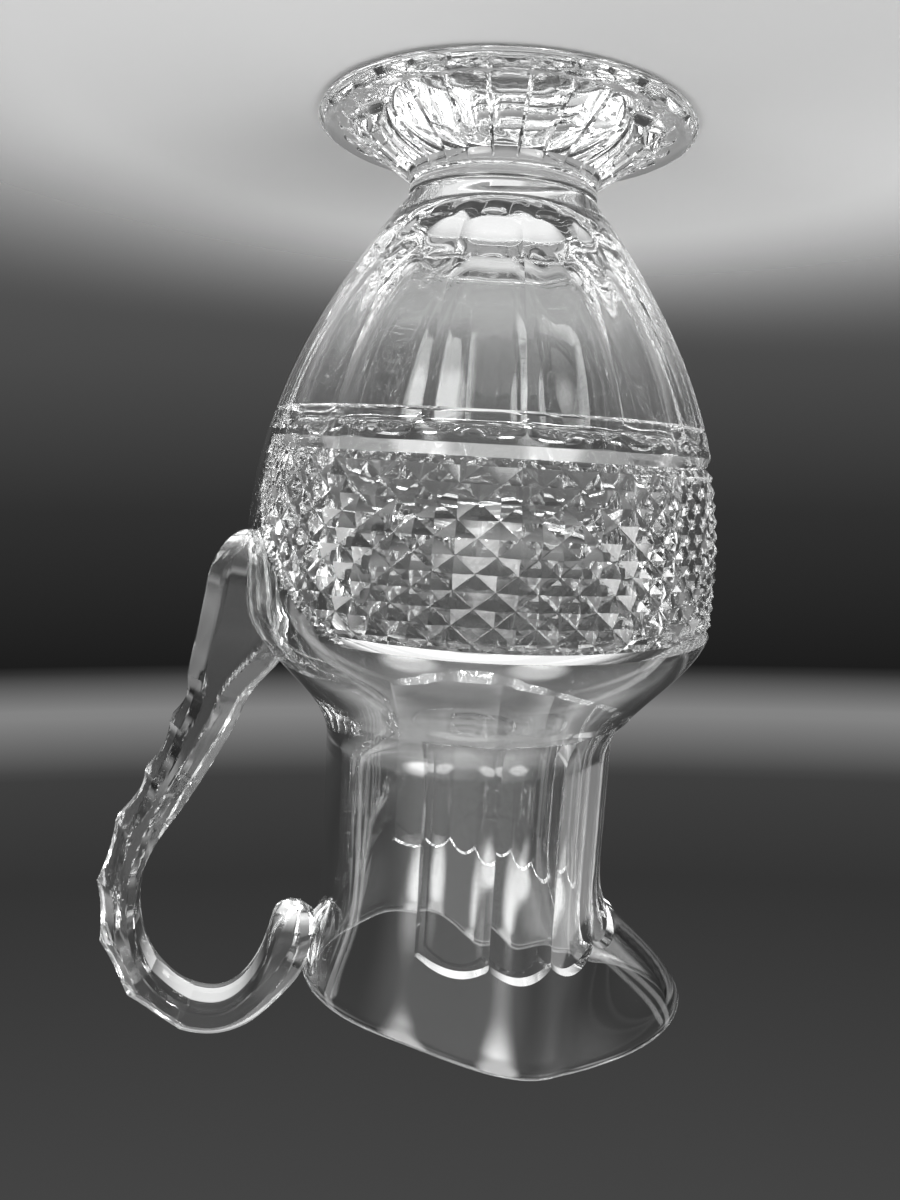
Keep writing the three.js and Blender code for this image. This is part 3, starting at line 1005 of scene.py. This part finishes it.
@dataclass
class Handle(Piece):
    """Applied loop handle: leaf at the root, notched grip and a pad on the lip.

    A path's points are shares of the handle's reach and height, or of the pad's depth and
    drop. A span holds the two shares of the handle's length between which a size changes.
    """

    node: str = "handle"
    finish: CrystalFinish = CrystalFinish(ripple_length=14.0)
    outline: Outline = Outline()
    columns: int = 128
    root_height: float = 114.2
    top_height: float = 263.6
    reach: float = 35.2
    root_depth: float = 18.0
    root_width: float = 25.0
    grip_depth: float = 10.4
    grip_width: float = 16.0
    pad_depth: float = 13.2
    pad_width: float = 20.0
    pad_drop: float = 20.0
    web: float = 8.0
    depth_span: tuple[float, float] = (0.16, 0.66)
    width_span: tuple[float, float] = (0.1, 0.4)
    pad_span: tuple[float, float] = (0.84, 0.95)
    web_span: tuple[float, float] = (0.13, 0.23)
    wedge_span: tuple[float, float] = (0.2, 0.6)
    tip_share: float = 0.07
    end_share: float = 0.04
    back_chamfer: float = 5.0
    front_chamfer: float = 1.4
    root_chamfer: float = 10.0
    chamfer_limit: float = 0.9
    notch_start: float = 0.2
    notch_end: float = 0.75
    notches: int = 7
    notch_rows: int = 14
    notch_depth: float = 1.5
    notch_limit: float = 0.6
    sharpness: float = 100.0
    sunk: float = 0.3
    line_steps: int = 2400
    grip_path: tuple[tuple[float, float], ...] = (
        (-0.045, 0.0), (0.015, 0.073), (0.075, 0.153), (0.15, 0.239), (0.248, 0.332),
        (0.412, 0.418), (0.62, 0.511), (0.83, 0.591), (0.95, 0.661), (1.0, 0.73),
        (1.0, 0.79), (0.94, 0.853), (0.825, 0.91), (0.62, 0.964), (0.41, 0.991),
        (0.205, 1.0), (0.03, 0.991), (-0.12, 0.967),
    )
    pad_path: tuple[tuple[float, float], ...] = (
        (0.75, -0.2), (0.45, 0.14), (0.24, 0.56), (0.1, 1.0),
    )

    def course(self) -> Array:
        """Corner points of the middle line in the handle's plane, as (x, z)."""
        out, up = np.array(self.grip_path).T
        inward, down = np.array(self.pad_path).T
        x = self.outline.widest_radius + self.reach * out
        z = blend(self.root_height, self.top_height, up)
        pad_x = self.outline.back_radius + self.pad_depth * inward
        pad_z = self.outline.rim_height - self.pad_drop * down
        return np.stack([np.append(x, pad_x), np.append(z, pad_z)], axis=-1)

    def middle_line(self, share: Array) -> tuple[Array, Array]:
        """Places and directions along the handle.

        Formula: a spline through the corner points, each stretch a cubic whose slopes at
        its ends are half the step between the neighbours, measured out by length.

        Args:
            share: Shares of the handle's length.

        Returns:
            Points (n, 2) and unit directions (n, 2) in the handle's plane.
        """
        points = self.course()
        before = 2.0 * points[0] - points[1]
        after = 2.0 * points[-1] - points[-2]
        knots = np.vstack([before, points, after])
        fine = np.linspace(0.0, len(points) - 1.0, self.line_steps)
        cell = np.minimum(fine.astype(int), len(points) - 2)
        t = (fine - cell)[:, None]
        p0, p1, p2, p3 = (knots[cell + k] for k in range(4))
        curve = 0.5 * (
            2.0 * p1
            + (p2 - p0) * t
            + (2.0 * p0 - 5.0 * p1 + 4.0 * p2 - p3) * t**2
            + (3.0 * p1 - p0 - 3.0 * p2 + p3) * t**3
        )
        walked = np.concatenate([[0.0], np.cumsum(np.hypot(*np.diff(curve, axis=0).T))])
        walked /= walked[-1]
        slope = np.gradient(curve, walked, axis=0)
        place = np.stack([np.interp(share, walked, curve[:, k]) for k in range(2)], -1)
        heading = np.stack([np.interp(share, walked, slope[:, k]) for k in range(2)], -1)
        return place, heading / np.linalg.norm(heading, axis=1, keepdims=True)

    def notch(self, share: Array) -> Array:
        """Depth of the cuts down the back.

        Formula: the notch's depth times one minus the square of the place in the notch.

        Args:
            share: Shares of the handle's length.

        Returns:
            Depths, 0 above and below the notches.
        """
        turn = (share - self.notch_start) / (self.notch_end - self.notch_start)
        cut = self.notch_depth * (1.0 - centred(turn * self.notches) ** 2)
        return np.where((turn >= 0.0) & (turn <= 1.0), cut, 0.0)

    def section(self, share: Array) -> tuple[Array, Array]:
        """Depth and width along the handle.

        Formula: the root's sizes ease into the grip's and those into the pad's, and a
        quarter circle closes either end.

        Args:
            share: Shares of the handle's length.

        Returns:
            Half depths and half widths.
        """
        slim = smooth(share, *self.depth_span)
        narrow = smooth(share, *self.width_span)
        pad = smooth(share, *self.pad_span)
        tip = 1.0 - np.clip(share / self.tip_share, 0.0, 1.0)
        end = 1.0 - np.clip((1.0 - share) / self.end_share, 0.0, 1.0)
        closing = np.sqrt(1.0 - np.maximum(tip, end) ** 2)
        depth = blend(blend(self.root_depth, self.grip_depth, slim), self.pad_depth, pad)
        width = blend(blend(self.root_width, self.grip_width, narrow), self.pad_width, pad)
        return depth * closing / 2.0, width * closing / 2.0

    def clear_of_bowl(self, angle: Array, radius: Array, height: Array) -> Array:
        """Radii of places, brought out of the bowl to just under its surface."""
        return np.maximum(radius, self.outline.outside(angle, height) - self.sunk)

    def sides(self, share: Array) -> list[Array]:
        """Distances of the section's eight sides from its middle.

        Formula: back, flanks and front lie at the half depth and half width, less the
        notches and with the root's web. A slanted side lies a chamfer inside the corner
        of its neighbours, along the diagonal.

        Args:
            share: Shares of the handle's length.

        Returns:
            One array for each side, from the back round to the back.
        """
        depth, width = self.section(share)
        least_half = np.minimum(depth, width) * self.chamfer_limit
        chamfer = np.minimum(self.back_chamfer, least_half)
        wedge = blend(self.root_chamfer, self.front_chamfer, smooth(share, *self.wedge_span))
        wedge = np.minimum(wedge, least_half)
        back = depth - np.minimum(self.notch(share), self.notch_limit * depth)
        front = depth + self.web * (1.0 - smooth(share, *self.web_span))
        slanted_back = (back + width - chamfer) / math.sqrt(2.0)
        slanted_front = (front + width - wedge) / math.sqrt(2.0)
        return [back, slanted_back, width, slanted_front, front, slanted_front, width, slanted_back]

    def skin(self) -> Skin:
        """The handle's surface.

        Formula: the section is an eight-sided figure. In every direction the reach is a
        high power mean of the sides' distances seen at that angle, which rounds the
        corners slightly. Points that would lie in the bowl are brought out of it.

        Returns:
            The surface, closed by its two poles.
        """
        ends = np.linspace(0.0, 1.0, 13) ** 2
        tip = self.tip_share * ends[1:]
        root = np.linspace(self.tip_share, self.notch_start, 34)[1:-1]
        grip_rows = self.notches * self.notch_rows + 1
        grip = np.linspace(self.notch_start, self.notch_end, grip_rows)
        neck = np.linspace(self.notch_end, 1.0 - self.end_share, 36)[1:-1]
        close = 1.0 - self.end_share * ends[::-1][:-1]
        share = np.concatenate([tip, root, grip, neck, close])
        turn = (np.arange(self.columns) + 0.5) / self.columns * TAU
        total = np.zeros((len(share), self.columns))
        for k, distance in enumerate(self.sides(share)):
            seen = np.maximum(np.cos(turn - k * TAU / 8.0), 0.0)[None, :]
            total += (seen / distance[:, None]) ** self.sharpness
        reach = total ** (-1.0 / self.sharpness)
        place, heading = self.middle_line(share)
        out = reach * np.cos(turn)
        x = place[:, :1] + heading[:, 1:] * out
        z = place[:, 1:] - heading[:, :1] * out
        y = reach * np.sin(turn)
        angle = np.arctan2(y, x)
        rows = cylindrical(angle, self.clear_of_bowl(angle, np.hypot(x, y), z), z)
        end_x, end_z = self.middle_line(np.array([0.0, 1.0]))[0].T
        end_x = self.clear_of_bowl(np.zeros(2), end_x, end_z)
        first, last = zip(end_x, (0.0, 0.0), end_z)
        return Skin(rows, first=first, last=last, low=reach)


@dataclass(frozen=True)
class SoftBox:
    """One soft area lamp that lights the floor and shows neither itself nor its mirror image."""

    name: str
    place: tuple[float, float, float]
    size: tuple[float, float]
    power: float

    def build(self) -> bpy.types.Object:
        """Make the lamp, turned to the pitcher's foot."""
        data = bpy.data.lights.new(self.name, "AREA")
        data.shape = "RECTANGLE"
        data.size, data.size_y = self.size
        data.energy = self.power
        lamp = placed(self.name, data)
        lamp.location = self.place
        lamp.rotation_euler = (-Vector(self.place)).to_track_quat("-Z", "Y").to_euler()
        lamp.visible_camera = False
        lamp.visible_glossy = False
        lamp.visible_transmission = False
        return lamp


@dataclass(frozen=True)
class Glow:
    """One soft-edged patch of light in the surround, seen as a reflection in the glass.

    Attributes:
        azimuth: Degrees round from +X towards +Y.
        elevation: Degrees above the floor.
        half_width: Half of the patch's width, as seen from the pitcher, in degrees.
        half_height: Half of its height, in degrees.
        strength: Brightness in the middle.
        edge: Where it has faded to nothing, in half widths and half heights.
        core: Where it begins to fade, in the same measure.
    """

    azimuth: float
    elevation: float
    half_width: float
    half_height: float
    strength: float
    edge: float = 1.15
    core: float = 0.55

    def add_to(self, shader: Shader, direction: bpy.types.NodeSocket) -> Term:
        """Add the patch to the world's nodes.

        Formula: the difference between the direction and the patch's own is measured in
        half widths across and half heights up, and its length fades the patch from the
        middle to the edge.

        Args:
            shader: The world's nodes.
            direction: The direction that is looked up.

        Returns:
            The patch's brightness.
        """
        turned, raised = math.radians(self.azimuth), math.radians(self.elevation)
        flat = math.cos(raised)
        middle = Vector((flat * math.cos(turned), flat * math.sin(turned), math.sin(raised)))
        wide = math.tan(math.radians(self.half_width))
        high = math.tan(math.radians(self.half_height))
        local = shader.node(
            "ShaderNodeMapping",
            {"vector_type": "TEXTURE"},
            {
                "Vector": direction,
                "Location": middle,
                "Rotation": middle.to_track_quat("Z", "Y").to_euler(),
                "Scale": (wide, high, max(wide, high)),
            },
        )
        return shader.ease(shader.length(local), self.edge, self.core, high=self.strength)


@dataclass
class Studio:
    """Pale floor, soft lamps, a grey surround and the camera.

    The floor keeps its tone up to fade_start from the axis and has gone over into the
    surround at fade_end. Glass shows a painted caustic under the foot's middle, a pale
    round patch of painted light whose edge lies between painted_caustic_inner and
    painted_caustic_outer. The greys are the surround's, with their places from straight
    down (0) to straight up (1). Its bands are turned to face the camera and drawn out
    sideways by backdrop_stretch.
    """

    floor_radius: float = 1.05
    floor_height: float = -0.0005
    floor_sides: int = 96
    floor_tone: float = 0.38
    fade_start: float = 0.12
    fade_end: float = 0.55
    # Inner and outer radius of the painted caustic under the foot: a pale round patch of painted
    # light on the floor, which only the glass shows.
    painted_caustic_inner: float = 0.014
    painted_caustic_outer: float = 0.036
    greys: tuple[tuple[float, float], ...] = (
        (0.0, 0.22),
        (0.45, 0.07),
        (0.53, 0.03),
        (0.615, 0.012),
        (0.638, 0.24),
        (0.67, 0.05),
        (0.72, 0.035),
        (0.85, 0.06),
        (0.9, 0.3),
        (0.96, 1.0),
    )
    backdrop_turn: tuple[float, float, float] = (0.0, -0.056, 0.169)
    backdrop_stretch: float = 2.2
    lens: float = 27.03
    sensor: float = 36.0
    near: float = 0.005
    camera_place: tuple[float, float, float] = (0.0556, -0.2616, 0.0903)
    camera_up: tuple[float, float, float] = (0.0280, 0.1654, -0.9858)
    camera_forward: tuple[float, float, float] = (-0.1751, 0.9718, 0.1581)
    bounces: int = 72
    clear_bounces: int = 16
    lamps: tuple[SoftBox, ...] = (
        SoftBox("key_softbox", (-1.1, -0.9, 1.5), (1.2, 1.2), 18.0),
        SoftBox("back_softbox", (0.7, 1.3, 1.4), (1.4, 1.0), 14.0),
    )
    glows: tuple[Glow, ...] = (
        Glow(175.0, 18.0, 4.0, 40.0, 1.6),
        Glow(15.0, 18.0, 5.0, 40.0, 1.8),
        Glow(-70.0, 62.0, 30.0, 20.0, 1.4),
        Glow(-80.0, 25.0, 45.0, 30.0, 0.7),
        Glow(-40.0, 40.0, 14.0, 13.0, 8.0),
        Glow(-116.0, 40.0, 14.0, 13.0, 8.0),
    )

    def floor(self) -> bpy.types.Object:
        """Make the round floor, whose edge fades into the surround.

        Formula: rings of points at growing radii, all a hair below the foot.

        Returns:
            The floor.
        """
        angle = np.arange(self.floor_sides) / self.floor_sides * TAU
        radius = spaced(0.0, 1.0, 9)[1:] ** 2 * self.floor_radius
        rows = to_space(cylindrical(angle, radius, self.floor_height))
        number = 1 + np.arange(rows[..., 0].size).reshape(rows.shape[:2])
        following = np.roll(number, -1, axis=1)
        sides = np.stack([number[:-1], number[1:], following[1:], following[:-1]], -1)
        fan = np.stack([np.zeros_like(number[0]), number[0], following[0]], -1)
        points = np.vstack([[[0.0, 0.0, self.floor_height]], rows.reshape(-1, 3)])
        mesh = bpy.data.meshes.new("floor")
        mesh.from_pydata(points.tolist(), [], fan.tolist() + sides.reshape(-1, 4).tolist())
        mesh.materials.append(self.floor_material())
        made = placed("floor", mesh)
        return made

    def floor_material(self) -> bpy.types.Material:
        """Make the floor's pale matt finish, clear towards its edge.

        Formula: the fade follows one over the distance, which falls evenly from the near
        floor to the horizon. Glass in front of the floor shows its plain tone, and under
        the foot's middle a paler patch of painted light, a painted caustic in place of the
        light the glass would gather.

        Returns:
            The material.
        """
        made, shader = new_material("floor_matt_and_painted_caustic")
        away = shader.length(shader.coordinate("Object"))
        fade = shader.ease(away**-1.0, 1.0 / self.fade_start, 1.0 / self.fade_end)
        # Painted caustic: painted light under the foot's middle, white inside, easing out to the
        # floor's tone at its edge.
        painted_caustic_tone = shader.ease(away, self.painted_caustic_outer, self.painted_caustic_inner, self.floor_tone)
        tone = (self.floor_tone,) * 3 + (1.0,)
        paint = shader.node("ShaderNodeBsdfDiffuse", inputs={"Color": tone})
        # What the glass sees of the floor: the floor's tone as emission, with the painted caustic
        # under the foot.
        plain = shader.node("ShaderNodeEmission", inputs={"Color": painted_caustic_tone})
        in_glass = shader.node("ShaderNodeLightPath").outputs["Is Transmission Ray"]
        shown = shader.node("ShaderNodeMixShader", inputs={0: in_glass, 1: paint, 2: plain})
        clear = shader.node("ShaderNodeBsdfTransparent")
        mixed = shader.node("ShaderNodeMixShader", inputs={0: fade, 1: shown, 2: clear})
        shader.node("ShaderNodeOutputMaterial", inputs={"Surface": mixed})
        return made

    def surround(self) -> None:
        """Fill the world with greys: dark at eye level, a pale line above, a light ceiling.

        Formula: the direction is turned to face the camera and drawn out sideways, so
        that the pale line runs nearly straight behind the pitcher. Its height, brought
        from -1..1 to 0..1, picks the grey, and the patches of light are added.
        """
        world = bpy.data.worlds.new("surround")
        bpy.context.scene.world = world
        world.use_nodes = True
        shader = Shader(world.node_tree)
        direction = shader.coordinate("Generated")
        facing = shader.node(
            "ShaderNodeMapping",
            {"vector_type": "TEXTURE"},
            {
                "Vector": direction,
                "Rotation": self.backdrop_turn,
                "Scale": (self.backdrop_stretch, 1.0, 1.0),
            },
        )
        unit = shader.node("ShaderNodeVectorMath", {"operation": "NORMALIZE"}, {0: facing})
        parts = shader.node("ShaderNodeSeparateXYZ", inputs={"Vector": unit})
        height = shader.value(parts, "Z") * 0.5 + 0.5
        grey = shader.node("ShaderNodeValToRGB", inputs={"Fac": height}, stops=self.greys)
        light = shader.value(grey, "Color")
        for glow in self.glows:
            light = light + glow.add_to(shader, direction)
        back = shader.node("ShaderNodeBackground", inputs={"Color": (1.0,) * 4, "Strength": light})
        shader.node("ShaderNodeOutputWorld", inputs={"Surface": back})

    def camera(self) -> bpy.types.Object:
        """Make the camera at the photograph's place, rolled over as the photograph is."""
        data = bpy.data.cameras.new("camera")
        data.lens = self.lens
        data.sensor_width = self.sensor
        data.clip_start = self.near
        made = placed("camera", data)
        forward = Vector(self.camera_forward).normalized()
        right = forward.cross(Vector(self.camera_up)).normalized()
        axes = Matrix([right, right.cross(forward), -forward]).transposed()
        made.matrix_world = Matrix.Translation(self.camera_place) @ axes.to_4x4()
        bpy.context.scene.camera = made
        return made

    def build(self) -> None:
        """Make the whole studio."""
        self.camera()
        self.surround()
        self.floor()
        for lamp in self.lamps:
            lamp.build()
        scene = bpy.context.scene
        scene.view_settings.view_transform = "Standard"
        scene.cycles.max_bounces = self.bounces
        scene.cycles.transmission_bounces = self.bounces
        scene.cycles.glossy_bounces = self.bounces
        scene.cycles.transparent_max_bounces = self.clear_bounces
        log.info("studio: %d lamps", len(self.lamps))


def main() -> None:
    """Build the studio and the pitcher's four pieces."""
    logging.basicConfig(level=logging.INFO, format="%(name)s: %(message)s")
    Studio().build()
    joint = FusedJoint().material()
    pieces: list[Piece] = [Foot(joint), Wafer(joint), Bowl(joint), Handle(joint)]
    for piece in pieces:
        piece.build()


if __name__ == "__main__":
    main()
